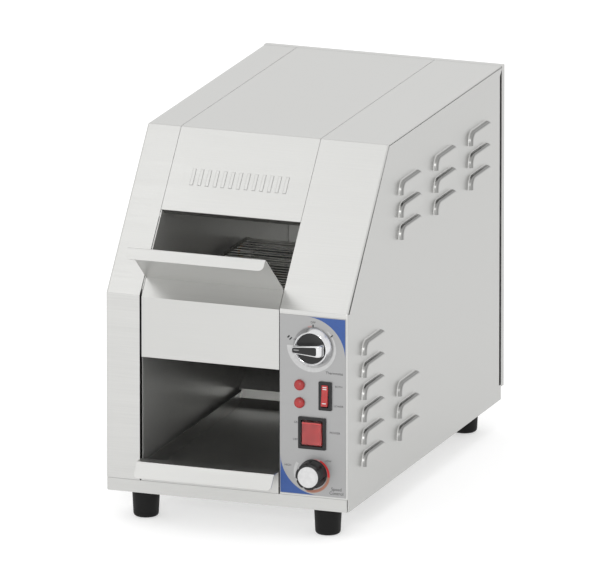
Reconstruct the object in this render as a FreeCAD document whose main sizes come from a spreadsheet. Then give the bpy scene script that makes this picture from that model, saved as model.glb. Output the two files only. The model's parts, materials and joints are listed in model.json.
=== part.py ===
import FreeCAD, Part
import math
import os
import Sketcher
from FreeCAD import Placement, Rotation, Vector

# Small conveyor toaster: folded stainless steel housing on four rubber feet, a wire
# belt between upper and lower heating elements, a crumb tray and a column of controls.
# Casing coordinates: X from the centre line, Y back from the front plane, Z up from
# the underside of the base.  The part's own origin is on the ground under the middle
# of the object's bounding box, with +X to the right seen from the front, +Y to the back.

DIMENSIONS = [
    # housing
    ("width", 280), ("depth", 508.4), ("height", 381.4), ("sheet", 1.2),
    ("kink_height", 223), ("front_bend", 39.7), ("top_bend", 50.3),
    ("left_column", 38.8), ("right_column", 78.7), ("plinth_height", 14.1), ("plinth_gap", 0.4),
    ("back_flange", 8.9), ("seam", 0.6), ("corner_radius", 2),
    ("front_reach", 50.723), ("rear_reach", 16),
    # louvres pressed out of the sides
    ("louvre_length", 67), ("louvre_rise", 15), ("louvre_corner", 11),
    ("louvre_reach", 5.5), ("louvre_pitch", 25.1), ("louvre_column_pitch", 113.3),
    ("upper_louvres_y", 161.5), ("upper_louvres_z", 267), ("lower_louvres_y", 43.5),
    ("lower_louvres_z", 41),
    # feet
    ("foot_height", 33.7), ("foot_top_radius", 15.5), ("foot_base_radius", 14),
    ("foot_pitch_x", 211.3), ("foot_pitch_y", 444.6), ("foot_front", 31.4),
    ("foot_screw_radius", 3),
    # toasting chamber
    ("chamber_left", -99.8), ("chamber_right", 60.9), ("wall_inset", 1.6),
    ("wall_front", 7), ("wall_bottom", 15), ("wall_rear", 495), ("rear_wall", 469),
    ("exit_top", 153.7), ("fold_y", 16), ("fold_z", 239.4),
    ("flange_y", -41.5), ("flange_z", 286.5), ("lip_run", 8.3), ("lip_drop", 10),
    ("cover_edge_y", 66.6), ("cover_edge_z", 303.2),
    # crumb tray
    ("tray_length", 304), ("tray_floor", 22.5), ("tray_top", 39.6),
    ("tray_left", -94.8), ("tray_right", 58), ("tray_ramp", 13), ("tray_ramp_rise", 8.5),
    ("tray_ledge", 13.3), ("tray_lip_reach", 25.2), ("tray_lip_drop", 16.3),
    # conveyor
    ("belt_front", 41), ("belt_rear", 314), ("belt_axis_z", 195), ("belt_radius", 14.2),
    ("belt_left", -95), ("belt_right", 56), ("belt_wire", 0.8), ("belt_strands", 58),
    ("belt_edge", 4.5),
    ("shaft_radius", 5), ("bush_radius", 8), ("running_gap", 0.05),
    ("sprocket_tip", 12.9), ("sprocket_thickness", 6), ("sprocket_pitch", 64),
    # heating elements
    ("heater_radius", 4), ("upper_heater_y", 120), ("upper_heater_z", 296),
    ("upper_heater_pitch", 80), ("lower_heater_y", 125), ("lower_heater_z", 195),
    ("lower_heater_pitch", 105),
    # drive
    ("drive_plane", 74), ("chain_width", 3), ("motor_z", 110),
    ("chain_wheel_radius", 20), ("chain_height", 3),
    # controls, on the right column
    ("label_left", 61.5), ("label_right", 137.7), ("label_bottom", 16.3),
    ("label_top", 217.7), ("label_thickness", 0.5),
    ("thermostat_x", 99.9), ("thermostat_z", 183.4), ("knob_radius", 22.2), ("disc_radius", 17.1),
    ("lamp_x", 84.4), ("lamp_upper_z", 139.6), ("lamp_lower_z", 119.6), ("lamp_radius", 6.05),
    ("selector_x", 114.2), ("selector_z", 129.6), ("selector_width", 14.8),
    ("selector_height", 32),
    ("power_x", 99), ("power_z", 86.4), ("power_width", 31.6), ("power_height", 35.7),
    ("speed_x", 100), ("speed_z", 41), ("speed_knob_radius", 15.2), ("control_shaft_radius", 3),
    # rear fittings
    ("fan_x", 100), ("fan_z", 65), ("fan_radius", 27), ("gland_x", 100), ("gland_z", 135),
    ("gland_bore", 4.5),
]

CHAIN_WHEEL_TEETH = 20
SLOPE_RUN = "((height - kink_height) * tan(front_bend))"
REAR_EDGE = "(depth - back_flange - 0.4)"
FRONT = "((front_reach - depth - rear_reach) / 2)"
AXES = {
    "X": Rotation(Vector(0, 1, 0), 90),
    "Y": Rotation(Vector(1, 0, 0), -90),
    "Z": Rotation(),
}

doc = FreeCAD.newDocument("ConveyorToaster")
size = doc.addObject("Spreadsheet::Sheet", "size")
for row, (alias, number) in enumerate(DIMENSIONS, 1):
    size.set("A%d" % row, alias)
    size.set("B%d" % row, str(number))
    size.setAlias("B%d" % row, alias)
doc.recompute()

ALIASES = {alias for alias, number in DIMENSIONS}
nodes = []


# ---------------------------------------------------------------- expressions

def formula(text):
    """Point each bare dimension name in an expression at its cell."""
    words = []
    word = ""
    for letter in str(text) + " ":
        if letter.isalnum() or letter in "_.":
            word += letter
            continue
        words.append("size." + word if word in ALIASES else word)
        words.append(letter)
        word = ""
    return "".join(words).strip()


def value(text):
    """The number that an expression comes to."""
    return float(size.evalExpression(formula(text)))


def bind(item, **cells):
    for prop, text in cells.items():
        item.setExpression(prop, formula(text))
    return item


def place(item, x="0", y="0", z="0"):
    """Put an object at a point in casing coordinates."""
    item.setExpression("Placement.Base.x", formula(x))
    item.setExpression("Placement.Base.y", formula("%s + (%s)" % (FRONT, y)))
    item.setExpression("Placement.Base.z", formula("foot_height + (%s)" % z))
    return item


def node(label, item):
    """Register a finished sub-part under the name of its file."""
    item.Label = label
    nodes.append(item)
    return item


# ---------------------------------------------------------------- Part workbench

def box(name, corner, extent):
    item = doc.addObject("Part::Box", name)
    bind(item, Length=extent[0], Width=extent[1], Height=extent[2])
    return place(item, *corner)


def rod(name, axis, centre, length, radius):
    """A cylinder that starts at centre and runs along +axis."""
    item = doc.addObject("Part::Cylinder", name)
    item.Placement = Placement(Vector(), AXES[axis])
    bind(item, Radius=radius, Height=length)
    return place(item, *centre)


def fuse(name, items):
    item = doc.addObject("Part::MultiFuse", name)
    item.Shapes = items
    return item


def group(name, items):
    item = doc.addObject("Part::Compound", name)
    item.Links = items
    return item


def cut(name, base, tools):
    item = doc.addObject("Part::Cut", name)
    item.Base = base
    item.Tool = tools[0] if len(tools) == 1 else group(name + "_tools", tools)
    return item


def tube(name, axis, centre, length, radius, bore):
    outer = rod(name + "_outer", axis, centre, length, radius)
    return cut(name, outer, [rod(name + "_bore", axis, centre, length, bore)])


def rounded(name, base, radius, wanted):
    """Fillet the edges of a finished object that a test picks out."""
    doc.recompute()
    edges = [i for i, edge in enumerate(base.Shape.Edges, 1) if wanted(edge)]
    item = doc.addObject("Part::Fillet", name)
    item.Base = base
    item.Edges = [(i, radius, radius) for i in edges]
    return item


def folded(name, folds, left, right):
    """Sheet metal folded along X.  The points (y, z) are one face, and the sheet's
    thickness lies to the right of the direction in which they run."""
    path = doc.addObject("Sketcher::SketchObject", name + "_folds")
    path.Placement = Placement(Vector(), Rotation(Vector(0, 1, 0), Vector(0, 0, 1), Vector(1, 0, 0), "ZXY"))
    place(path, left)
    outline(path, folds, closed=False)
    skin = doc.addObject("Part::Offset2D", name + "_section")
    skin.Source = path
    skin.Mode = "Skin"
    skin.Fill = True
    bind(skin, Value="sheet")
    item = doc.addObject("Part::Extrusion", name)
    item.Base = skin
    item.DirMode = "Custom"
    item.Dir = Vector(1, 0, 0)
    item.Solid = True
    return bind(item, LengthFwd="(%s) - (%s)" % (right, left))


# ---------------------------------------------------------------- PartDesign

def new_body(name, x="0", y="0", z="0"):
    return place(doc.addObject("PartDesign::Body", name), x, y, z)


def origin_feature(body, role):
    return next(f for f in body.Origin.OriginFeatures if f.Role == role)


def sketch(body, plane, offset="0"):
    item = body.newObject("Sketcher::SketchObject", body.Name + "_sketch")
    item.AttachmentSupport = [(origin_feature(body, plane + "_Plane"), "")]
    item.MapMode = "FlatFace"
    item.setExpression("AttachmentOffset.Base.z", formula(offset))
    return item


def pin_point(item, geometry, point, corner):
    """Hold a sketch point at a pair of expressions."""
    for kind, text in zip(("DistanceX", "DistanceY"), corner):
        number = item.addConstraint(Sketcher.Constraint(kind, -1, 1, geometry, point, value(text)))
        item.setExpression("Constraints[%d]" % number, formula(text))


def outline(item, corners, closed=True):
    """Straight lines through corners, each corner bound to its expressions."""
    points = [Vector(value(u), value(v), 0) for u, v in corners]
    first = item.GeometryCount
    ends = points[1:] + points[:1] if closed else points[1:]
    for start, end in zip(points, ends):
        item.addGeometry(Part.LineSegment(start, end), False)
    count = len(ends)
    for i in range(count if closed else count - 1):
        item.addConstraint(Sketcher.Constraint("Coincident", first + i, 2, first + (i + 1) % count, 1))
    for i in range(count):
        pin_point(item, first + i, 1, corners[i])
    if not closed:
        pin_point(item, first + count - 1, 2, corners[-1])
    return item


def rectangle(item, u, v, across, up):
    """A rectangle centred on (u, v)."""
    left, right = "(%s) - (%s) / 2" % (u, across), "(%s) + (%s) / 2" % (u, across)
    low, high = "(%s) - (%s) / 2" % (v, up), "(%s) + (%s) / 2" % (v, up)
    return outline(item, [(left, low), (right, low), (right, high), (left, high)])


def circle(item, u, v, radius):
    middle = Vector(value(u), value(v), 0)
    number = item.addGeometry(Part.Circle(middle, Vector(0, 0, 1), value(radius)), False)
    pin_point(item, number, 3, (u, v))
    bound = item.addConstraint(Sketcher.Constraint("Radius", number, value(radius)))
    item.setExpression("Constraints[%d]" % bound, formula(radius))
    return item


def pad(body, profile, length, back=False):
    item = body.newObject("PartDesign::Pad", body.Name + "_pad")
    item.Profile = profile
    item.Reversed = back
    bind(item, Length=length)
    doc.recompute()
    return item


def pocket(body, profile, depth, back=False):
    """Cut against the sketch's normal, or along it with back."""
    doc.recompute()
    before = body.Shape.Volume
    item = body.newObject("PartDesign::Pocket", body.Name + "_pocket")
    item.Profile = profile
    item.Reversed = back
    bind(item, Length=depth)
    doc.recompute()
    if not body.Shape.Volume < before - 1e-6:
        raise RuntimeError(item.Name + " removed nothing")
    return item


def around(body, feature, axis, count):
    """Repeat a feature evenly about one of the body's own axes."""
    item = body.newObject("PartDesign::PolarPattern", body.Name + "_pattern")
    item.Originals = [feature]
    item.Axis = (origin_feature(body, axis + "_Axis"), [""])
    item.Angle = 360
    item.Occurrences = count
    body.Tip = item
    doc.recompute()
    return item


def soften(body, radius, wanted):
    """Round the edges of a body that a test picks out."""
    base = body.Tip
    names = ["Edge%d" % i for i, edge in enumerate(base.Shape.Edges, 1) if wanted(edge)]
    item = body.newObject("PartDesign::Fillet", body.Name + "_bends")
    item.Base = (base, names)
    bind(item, Radius=radius)
    doc.recompute()
    return item


def turned(name, axis, centre, profile):
    """A body of revolution; profile holds (distance along the axis, radius) pairs."""
    body = new_body(name, *centre)
    flat = sketch(body, "XZ" if axis == "Z" else "XY")
    outline(flat, [pair if axis == "X" else pair[::-1] for pair in profile])
    item = body.newObject("PartDesign::Revolution", name + "_turned")
    item.Profile = flat
    item.ReferenceAxis = (origin_feature(body, axis + "_Axis"), [""])
    item.Angle = 360
    return body


def lies_at(edge, x=None, y=None, z=None):
    """True where an edge's middle has the given coordinates, in the body's own frame."""
    middle = edge.valueAt((edge.FirstParameter + edge.LastParameter) / 2)
    pairs = zip((x, y, z), (middle.x, middle.y, middle.z))
    return all(want is None or abs(want - got) < 0.01 for want, got in pairs)


# ---------------------------------------------------------------- housing

def profile_corners(inset):
    """The bends of the housing's side view, moved inwards by inset."""
    bend = ("%s" % inset, "kink_height - (%s) * tan(front_bend / 2)" % inset)
    brow = ("%s + (%s) * tan(top_bend / 2)" % (SLOPE_RUN, inset), "height - (%s)" % inset)
    return bend, brow


def silhouette(inset, rear, bottom):
    bend, brow = profile_corners(inset)
    return [(inset, bottom), bend, brow, (rear, "height - (%s)" % inset), (rear, bottom)]


def louvre_form(inset, start, reach, round_over):
    """One louvre, its lower edge along Y from the origin, standing out along +X."""
    length, rise = value("louvre_length") - inset, value("louvre_rise") - inset
    bend = value("louvre_corner") - inset
    quarter = bend * (1 - math.sqrt(0.5))
    points = [
        Vector(start, inset, 0), Vector(start, inset, rise - bend),
        Vector(start, inset + quarter, rise - quarter), Vector(start, inset + bend, rise),
        Vector(start, length - bend, rise), Vector(start, length - quarter, rise - quarter),
        Vector(start, length, rise - bend), Vector(start, length, 0),
    ]
    edges = [
        Part.makeLine(points[0], points[1]), Part.Arc(*points[1:4]).toShape(),
        Part.makeLine(points[3], points[4]), Part.Arc(*points[4:7]).toShape(),
        Part.makeLine(points[6], points[7]), Part.makeLine(points[7], points[0]),
    ]
    solid = Part.Face(Part.Wire(edges)).extrude(Vector(reach - start, 0, 0))
    crown = [e for e in solid.Edges if lies_at(e, x=reach) and not lies_at(e, z=0)]
    return solid.makeFillet(round_over, crown)


def louvre_places(side):
    """Front-lower corners of the louvres: three columns high up on both sides, and two
    columns beside the controls on the right."""
    pitch, step = value("louvre_column_pitch"), value("louvre_pitch")
    upper_y, upper_z = value("upper_louvres_y"), value("upper_louvres_z")
    columns = [(upper_y + pitch * i, upper_z, 3) for i in range(3)]
    if side > 0:
        lower_y, lower_z = value("lower_louvres_y"), value("lower_louvres_z")
        columns += [(lower_y, lower_z, 6), (lower_y + pitch, lower_z, 3)]
    return [(y, z + step * row) for y, z, rows in columns for row in range(rows)]


def louvres(name, side, form):
    """All the louvres of one side as one tool, mirrored for the left side."""
    single = form if side > 0 else form.mirror(Vector(), Vector(1, 0, 0))
    copies = []
    for y, z in louvre_places(side):
        copy = single.copy()
        copy.translate(Vector(side * value("width / 2"), y, z))
        copies.append(copy)
    item = doc.addObject("Part::Feature", name)
    item.Shape = Part.makeCompound(copies)
    return place(item)


def control_openings(item):
    """Holes through the right column and its label for everything that is fitted there."""
    circle(item, "thermostat_x", "thermostat_z", "control_shaft_radius + 1.5")
    circle(item, "speed_x", "speed_z", "control_shaft_radius + 1.5")
    for height in ("lamp_upper_z", "lamp_lower_z"):
        circle(item, "lamp_x", height, "lamp_radius - 1.2")
    rectangle(item, "selector_x", "selector_z", "selector_width - 2", "selector_height - 3")
    rectangle(item, "power_x", "power_z", "power_width - 3", "power_height - 4")
    return item


def casing(label, side, column):
    """One side of the housing: side panel, front column, slope strip and top strip."""
    body = new_body(label + "_sheet")
    start = "-width / 2" if side < 0 else "width / 2 - %s" % column
    inner = "%d * (width / 2 - sheet)" % side
    outer = "%d * width / 2" % side
    inwards = side < 0
    pad(body, outline(sketch(body, "YZ", start), silhouette("0", REAR_EDGE, "0")), column)
    hollow = silhouette("sheet", "depth", "-sheet")
    pocket(body, outline(sketch(body, "YZ", inner), hollow), column, back=inwards)
    edge_x = value(outer)
    kink, brow_y, top = value("kink_height"), value(SLOPE_RUN), value("height")
    soften(body, "corner_radius", lambda e: lies_at(e, y=0, z=kink) or lies_at(e, y=brow_y, z=top))
    soften(body, "corner_radius", lambda e: lies_at(e, x=edge_x, y=0) and e.Length > 150)
    # the front flange and the corner beside it stop above the plinth
    foot_gap = rectangle(sketch(body, "XZ", "sheet"), "%d * (width - %s) / 2" % (side, column),
                         "(plinth_height + plinth_gap) / 2 - 1", "%s + 2" % column,
                         "plinth_height + plinth_gap + 2")
    pocket(body, foot_gap, "3 * sheet")
    # the side panel stops short of the back panel's flange
    notch = [("depth - 15.4", "17"), ("depth", "17"), ("depth", "height - 4"),
             ("depth - 9", "height - 4"), ("depth - 15.4", "height - 10.4")]
    pocket(body, outline(sketch(body, "YZ", outer), notch), "1.5 * sheet", back=inwards)
    # open seam between the side panel and the slope and top strips
    (bend, brow), (low_bend, low_brow) = profile_corners("sheet"), profile_corners("sheet + seam")
    rear = ("depth", "height - sheet"), ("depth", "height - sheet - seam")
    gap = [bend, brow, rear[0], rear[1], low_brow, ("%s + 3" % low_bend[0], low_bend[1])]
    pocket(body, outline(sketch(body, "YZ", outer), gap), "1.5 * sheet", back=inwards)
    if side > 0:
        pocket(body, control_openings(sketch(body, "XZ")), "2 * sheet")
    sheet, reach = value("sheet"), value("louvre_reach")
    hoods = louvres(label + "_hoods", side, louvre_form(0, -sheet / 2, reach, 3.8))
    mouths = louvres(label + "_mouths", side, louvre_form(sheet, -3 * sheet, reach - sheet, 2.6))
    pressed = fuse(label + "_pressed", [body, hoods])
    foot_x = side * value("width / 2")
    low = [value("foot_height") + z for y, z in louvre_places(side)]
    flared = rounded(label + "_flared", pressed, 1.4, lambda e: lies_at(e, x=foot_x)
                     and e.Length < 50 and e.BoundBox.ZMax - e.BoundBox.ZMin < 16
                     and not any(abs(e.BoundBox.ZMax - z) < 0.01 for z in low)
                     and is_hood_edge(e, side))
    node(label, cut(label, flared, [mouths]))


def is_hood_edge(edge, side):
    """True for an edge where a louvre rises out of the side panel."""
    middle = edge.valueAt((edge.FirstParameter + edge.LastParameter) / 2)
    y = middle.y - value(FRONT)
    z = middle.z - value("foot_height")
    length, rise = value("louvre_length"), value("louvre_rise")
    return any(-0.1 < y - low_y < length + 0.1 and -0.1 < z - low_z < rise + 0.1
               for low_y, low_z in louvre_places(side))


def centre_cover():
    """Cover between the casings: top, slope and a stiffening return along its front edge."""
    body = new_body("cover_sheet")
    start, end = "-width / 2 + left_column + 0.4", "width / 2 - right_column - 0.4"
    (bend, brow), (inner_bend, inner_brow) = profile_corners("0"), profile_corners("sheet")
    across, up = "sin(top_bend)", "cos(top_bend)"
    edge = ("cover_edge_y", "cover_edge_z")
    turn = ("cover_edge_y + 9 * %s" % across, "cover_edge_z - 9 * %s" % up)
    turn_top = ("%s + sheet * %s" % (turn[0], up), "%s + sheet * %s" % (turn[1], across))
    inside = ("cover_edge_y + sheet * %s + sheet * %s" % (across, up),
              "cover_edge_z - sheet * %s + sheet * %s" % (up, across))
    section = [edge, brow, (REAR_EDGE, "height"), (REAR_EDGE, "height - sheet"), inner_brow,
               inside, turn_top, turn]
    pad(body, outline(sketch(body, "YZ", start), section), "(%s) - (%s)" % (end, start))
    brow_y, edge_y = value(SLOPE_RUN), value("cover_edge_y")
    soften(body, "corner_radius", lambda e: lies_at(e, y=brow_y))
    soften(body, "sheet * 0.6", lambda e: lies_at(e, y=edge_y))
    # the return is cut back at its left end, where it passes the chamber's wall
    heel = ("cover_edge_y + sheet * %s" % across, "cover_edge_z - sheet * %s" % up)
    toe = ("cover_edge_y + 10 * %s" % across, "cover_edge_z - 10 * %s" % up)
    toe_top = ("%s + 2 * sheet * %s" % (toe[0], up), "%s + 2 * sheet * %s" % (toe[1], across))
    relief = outline(sketch(body, "YZ", start), [heel, inside, toe_top, toe])
    pocket(body, relief, "1.4", back=True)
    node("centre_cover", fuse("centre_cover", [body] + badge_ribs()))


def badge_ribs():
    """A plain row of raised ribs pressed into the slope of the cover."""
    ribs = []
    count, pitch, length, broad, sunk = 13, 9, 20, 4, 0.4
    middle_x, middle_y = value("(chamber_left + chamber_right) / 2"), 93.5
    slope = Rotation(Vector(1, 0, 0), value("top_bend"))
    along, proud = slope.multVec(Vector(0, 1, 0)), slope.multVec(Vector(0, 0, 1))
    for i in range(count):
        rib = doc.addObject("Part::Box", "cover_rib")
        rib.Length, rib.Width, rib.Height = broad, length, value("sheet")
        on_slope = Vector(middle_x + (i - (count - 1) / 2) * pitch - broad / 2, middle_y,
                          value("kink_height + %s / tan(front_bend)" % middle_y))
        corner = on_slope - along * (length / 2) - proud * sunk
        corner += Vector(0, value(FRONT), value("foot_height"))
        rib.Placement = Placement(corner, slope)
        ribs.append(rib)

    def crown(edge):
        middle = edge.valueAt((edge.FirstParameter + edge.LastParameter) / 2)
        local = slope.inverted().multVec(middle - corner)
        return abs(local.z - value("sheet")) < 0.01
    return [rounded("cover_rib_round", rib, 0.7, crown) for rib in ribs]


def base_pan():
    body = new_body("base_pan")
    broad, long = "width - 2 * sheet - 0.6", "wall_rear + 6"
    middle = "0.5 + (%s) / 2" % long
    pad(body, rectangle(sketch(body, "XY"), "0", middle, broad, long), "plinth_height")
    inside = rectangle(sketch(body, "XY", "plinth_height"), "0", middle,
                       "%s - 2 * sheet" % broad, "%s - 2 * sheet" % long)
    pocket(body, inside, "plinth_height - sheet")
    holes = sketch(body, "XY", "sheet")
    for x, y in foot_places():
        circle(holes, x, y, "foot_screw_radius")
    for i in range(8):
        rectangle(holes, "fan_x", "%d" % (120 + 14 * i), "50", "5")
    pocket(body, holes, "2 * sheet")
    node("base_pan", body)


def back_panel():
    body = new_body("back_panel")
    low = "plinth_height + 0.3"
    middle = "(height + %s) / 2" % low
    tall = "height - (%s)" % low
    pad(body, rectangle(sketch(body, "XZ", "-depth"), "0", middle, "width", tall), "back_flange")
    inside = rectangle(sketch(body, "XZ", "back_flange - depth"), "0", middle,
                       "width - 2 * sheet", "%s - 2 * sheet" % tall)
    pocket(body, inside, "back_flange - sheet")
    holes = sketch(body, "XZ", "back_flange - depth")
    circle(holes, "fan_x", "fan_z", "fan_radius + 1")
    circle(holes, "gland_x", "gland_z", "8")
    for x, z in back_screw_places():
        circle(holes, x, z, "2")
    for i in range(9):
        rectangle(holes, "-20", "%d" % (250 + 12 * i), "150", "4")
    pocket(body, holes, "2 * back_flange")
    node("back_panel", body)


# ---------------------------------------------------------------- chamber

def inner_wall(label, left, ledge_left):
    """Wall of the toasting chamber, with a ledge that the crumb tray runs on."""
    body = new_body(label + "_sheet")
    (bend_y, bend_z), brow = profile_corners("wall_inset")
    shoulder = ("wall_front", "%s + (wall_front - %s) / tan(front_bend)" % (bend_z, bend_y))
    side_view = [("wall_front", "wall_bottom"), shoulder, brow, ("wall_rear", "height - wall_inset"),
                 ("wall_rear", "wall_bottom")]
    pad(body, outline(sketch(body, "YZ", left), side_view), "sheet")
    holes = sketch(body, "YZ", "%s + sheet" % left)
    for y in ("belt_front", "belt_rear"):
        circle(holes, y, "belt_axis_z", "bush_radius")
    for y, z in heater_places():
        circle(holes, y, z, "heater_radius + 2")
    pocket(body, holes, "2 * sheet")
    ledge = box(label + "_ledge", (ledge_left, "wall_front", "tray_floor - sheet - 0.4 - sheet"),
                ("9", "tray_length - wall_front - 7", "sheet"))
    node(label, fuse(label, [body, ledge]))


def heater_places():
    upper = [("upper_heater_y + %d * upper_heater_pitch" % i, "upper_heater_z") for i in range(3)]
    lower = [("lower_heater_y + %d * lower_heater_pitch" % i, "lower_heater_z") for i in range(2)]
    return upper + lower


def heaters():
    """Metal-sheathed rods with a thinner terminal at each end."""
    rings, upper = [], []
    start, end = "chamber_left - 14", "chamber_right + 14"
    for number, (y, z) in enumerate(heater_places(), 1):
        name = "upper_heater" if z == "upper_heater_z" else "lower_heater_%d" % (number - 3)
        sheath = rod(name + "_sheath", "X", (start, y, z), "(%s) - (%s)" % (end, start), "heater_radius")
        pin = rod(name + "_pins", "X", ("%s - 8" % start, y, z), "(%s) - (%s) + 16" % (end, start), "1.5")
        element = fuse(name, [sheath, pin])
        if z == "upper_heater_z":
            upper.append(element)
        else:
            node(name, element)
        for x in ("chamber_left - sheet - 2", "chamber_right - 3"):
            rings.append(tube("heater_ring", "X", (x, y, z), "sheet + 5", "heater_radius + 2", "heater_radius"))
    node("upper_heaters", group("upper_heaters", upper))
    node("heater_insulators", group("heater_insulators", rings))


def chamber_sheets():
    left, right = "chamber_left + 0.4", "chamber_right - 0.4"
    upper = [("84", "306"), ("100", "320"), ("334", "320"), ("346", "307")]
    node("upper_reflector", folded("upper_reflector", upper[::-1], left, right))
    node("insulation_pad", box("insulation_pad", (left, "104", "322"),
                               ("chamber_right - chamber_left - 0.8", "228", "24")))
    lower = [("22", "158"), ("32", "167"), ("300", "167"), ("309", "173")]
    node("lower_reflector", folded("lower_reflector", lower, left, right))
    rear = [("rear_wall", "16"), ("rear_wall", "height - 9"), ("rear_wall - 12", "height - 9")]
    node("rear_inner_wall", folded("rear_inner_wall", rear, left, right))
    slide = [("tray_length + 4.5", "tray_top - 1"), ("rear_wall - 3.5", "138"), ("rear_wall - 3.5", "150")]
    node("bread_slide", folded("bread_slide", slide, left, right))


def feed_panel():
    """Front panel between the two openings, with the shelf on which bread is fed in."""
    tip = ("flange_y - lip_run", "flange_z - lip_drop")
    folds = [("1.5", "exit_top"), ("1.5", "kink_height - 1.7"), ("fold_y", "fold_z"),
             ("flange_y", "flange_z"), tip]
    panel = folded("feed_panel_sheet", folds, "chamber_left + 0.4", "chamber_right - 1")
    tip_y = value(FRONT) + value(tip[0])
    shaped = rounded("feed_panel", panel, 6, lambda e: e.Length < 1.3
                     and e.BoundBox.YMin < tip_y + 0.01 and abs(e.tangentAt(e.FirstParameter).x) < 0.01)
    node("feed_panel", shaped)


def crumb_tray():
    """Pull-out tray: a shallow pan with a front plate, a ledge and a turned-down lip."""
    plate_left, plate_right = "chamber_left + 0.4", "chamber_right - 1.2"
    folds = [("0", "plinth_height + plinth_gap"), ("0", "tray_top - sheet"),
             ("-tray_ledge", "tray_top - sheet"), ("-tray_lip_reach", "tray_top - tray_lip_drop")]
    front = folded("tray_front", folds, plate_left, plate_right)
    tip_y = value("%s - tray_lip_reach" % FRONT)
    lip = rounded("tray_lip", front, 5, lambda e: e.Length < 1.3 and e.BoundBox.YMin < tip_y + 0.01
                  and abs(e.tangentAt(e.FirstParameter).x) < 0.01)
    broad = "tray_right - tray_left"
    pan = box("tray_block", ("tray_left", "0.6", "tray_floor - sheet"),
              (broad, "tray_length - 0.6", "tray_top - 1.5 - tray_floor + sheet"))
    inside = box("tray_inside", ("tray_left + sheet", "sheet", "tray_floor"),
                 ("%s - 2 * sheet" % broad, "tray_length - 2 * sheet", "20"))
    rear = box("tray_rear", ("tray_left", "tray_length - sheet", "tray_floor - sheet"),
               (broad, "sheet", "tray_top - tray_floor + sheet + 1.2"))
    slope = [("tray_length - tray_ramp - 4", "tray_floor"), ("tray_length - tray_ramp", "tray_floor"),
             ("tray_length - sheet / 2", "tray_floor + tray_ramp_rise")]
    ramp = folded("tray_ramp_sheet", slope, "tray_left + sheet / 2", "tray_right - sheet / 2")
    node("crumb_tray", fuse("crumb_tray", [cut("tray_pan", pan, [inside]), lip, rear, ramp]))


# ---------------------------------------------------------------- conveyor and drive

def belt_loop(start, end, x):
    """Closed path of an open belt round two circles given as (y, z, radius)."""
    (y1, z1, r1), (y2, z2, r2) = start, end
    span = math.hypot(y2 - y1, z2 - z1)
    lean = math.acos((r1 - r2) / span)
    heading = math.atan2(z2 - z1, y2 - y1)

    def at(y, z, radius, angle):
        return Vector(x, y + radius * math.cos(angle), z + radius * math.sin(angle))
    up, down = heading + lean, heading - lean
    edges = [
        Part.makeLine(at(y1, z1, r1, up), at(y2, z2, r2, up)),
        Part.Arc(at(y2, z2, r2, up), at(y2, z2, r2, heading), at(y2, z2, r2, down)).toShape(),
        Part.makeLine(at(y2, z2, r2, down), at(y1, z1, r1, down)),
        Part.Arc(at(y1, z1, r1, down), at(y1, z1, r1, heading + math.pi), at(y1, z1, r1, up)).toShape(),
    ]
    return Part.Wire(edges)


def band(start, end, x, width, thickness):
    """A flat closed band whose middle runs along a belt loop."""
    half = thickness / 2
    outer = belt_loop(start[:2] + (start[2] + half,), end[:2] + (end[2] + half,), x)
    inner = belt_loop(start[:2] + (start[2] - half,), end[:2] + (end[2] - half,), x)
    return Part.Face(outer).cut(Part.Face(inner)).Faces[0].extrude(Vector(width, 0, 0))


def conveyor_belt():
    """Wire belt: cross strands at an even pitch, linked along both edges."""
    left, right, wire = value("belt_left"), value("belt_right"), value("belt_wire")
    radius, height = value("belt_radius"), value("belt_axis_z")
    ends = [(value(y), height, radius) for y in ("belt_front", "belt_rear")]
    count, edge = int(value("belt_strands")), value("belt_edge")
    links = [band(*ends, x, 2 * wire, 2 * wire) for x in (left, left + edge, right - edge, right - 2 * wire)]
    path = belt_loop(*ends, left)
    strands = [Part.makeCylinder(wire, right - left, point, Vector(1, 0, 0))
               for point in path.discretize(Number=count + 1)[:-1]]
    item = doc.addObject("Part::Feature", "conveyor_belt")
    item.Shape = links[0].multiFuse(links[1:] + strands)
    node("conveyor_belt", place(item))


def drive_chain():
    reach = value("chain_wheel_radius + chain_height / 2") + 0.4
    loops = [(value("belt_rear"), value(z), reach) for z in ("belt_axis_z", "motor_z")]
    item = doc.addObject("Part::Feature", "drive_chain")
    item.Shape = band(*loops, value("drive_plane"), value("chain_width"), value("chain_height"))
    node("drive_chain", place(item))


def toothed_wheel(label, centre, width, tip, bore, teeth):
    """A sprocket: a disc with rounded gaps cut evenly round its rim."""
    body = new_body(label, *centre)
    disc = circle(sketch(body, "YZ"), "0", "0", tip)
    pad(body, circle(disc, "0", "0", bore), width)
    gap = circle(sketch(body, "YZ", width), tip, "0", "(%s) * 1.9 / %d" % (tip, teeth))
    around(body, pocket(body, gap, "2 * (%s)" % width), "X", teeth)
    return body


def shafts():
    middle = "(belt_left + belt_right) / 2"
    ends = (("drive", "belt_rear", "drive_plane + 8"), ("idler", "belt_front", "chamber_right + 5"))
    for shaft, y, end in ends:
        start = "chamber_left - 5"
        bar = rod(shaft + "_shaft", "X", (start, y, "belt_axis_z"), "(%s) - (%s)" % (end, start),
                  "shaft_radius")
        node(shaft + "_shaft", bar)
        wheels = []
        for place_number in (-1, 0, 1):
            centre = ("%s + %d * sprocket_pitch - sprocket_thickness / 2" % (middle, place_number), y,
                      "belt_axis_z")
            wheels.append(toothed_wheel(shaft + "_sprocket", centre, "sprocket_thickness", "sprocket_tip",
                                        "shaft_radius", 8))
        node(shaft + "_sprockets", group(shaft + "_sprockets", wheels))


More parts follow.
